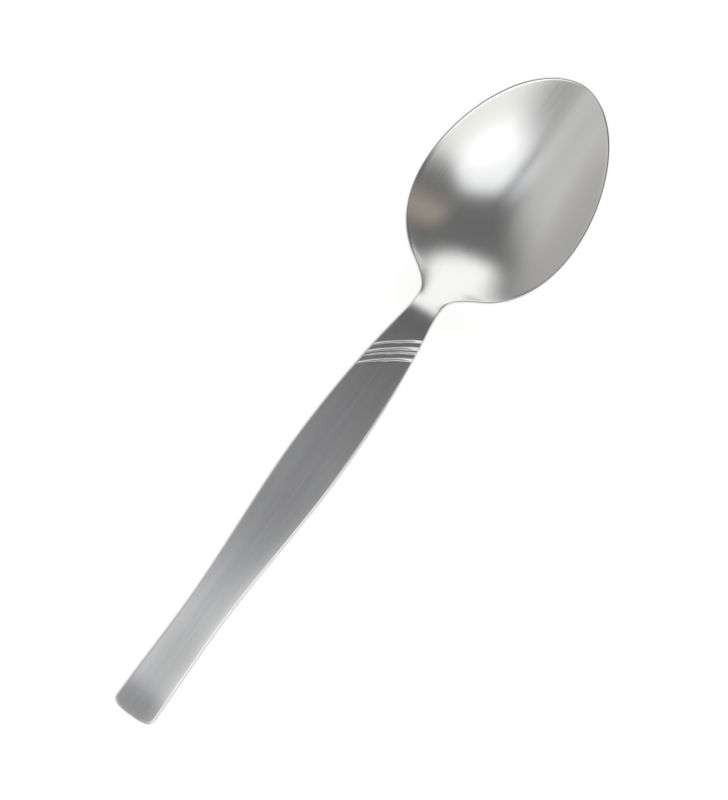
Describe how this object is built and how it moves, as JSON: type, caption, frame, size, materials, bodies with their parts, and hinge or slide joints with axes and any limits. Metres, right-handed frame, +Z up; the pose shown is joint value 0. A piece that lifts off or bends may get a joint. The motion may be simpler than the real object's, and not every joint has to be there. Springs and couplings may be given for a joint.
{
  "type": "teaspoon",
  "caption": "Satin stainless steel teaspoon: oval bowl, narrow neck, and a gently arched handle that swells in the middle, with four slanted arc grooves above the neck.",
  "frame": {"origin": "middle of the outline, on the table plane that the spoon rests on", "axes": "+X from the end of the handle to the tip of the bowl, +Y across, +Z up out of the hollow of the bowl"},
  "size_m": [0.138, 0.0312, 0.0087],
  "materials": {
    "satin_steel": "satin, brushed lengthwise"
  },
  "bodies": {
    "root": {"spoon": "satin_steel"}
  },
  "joints": []
}
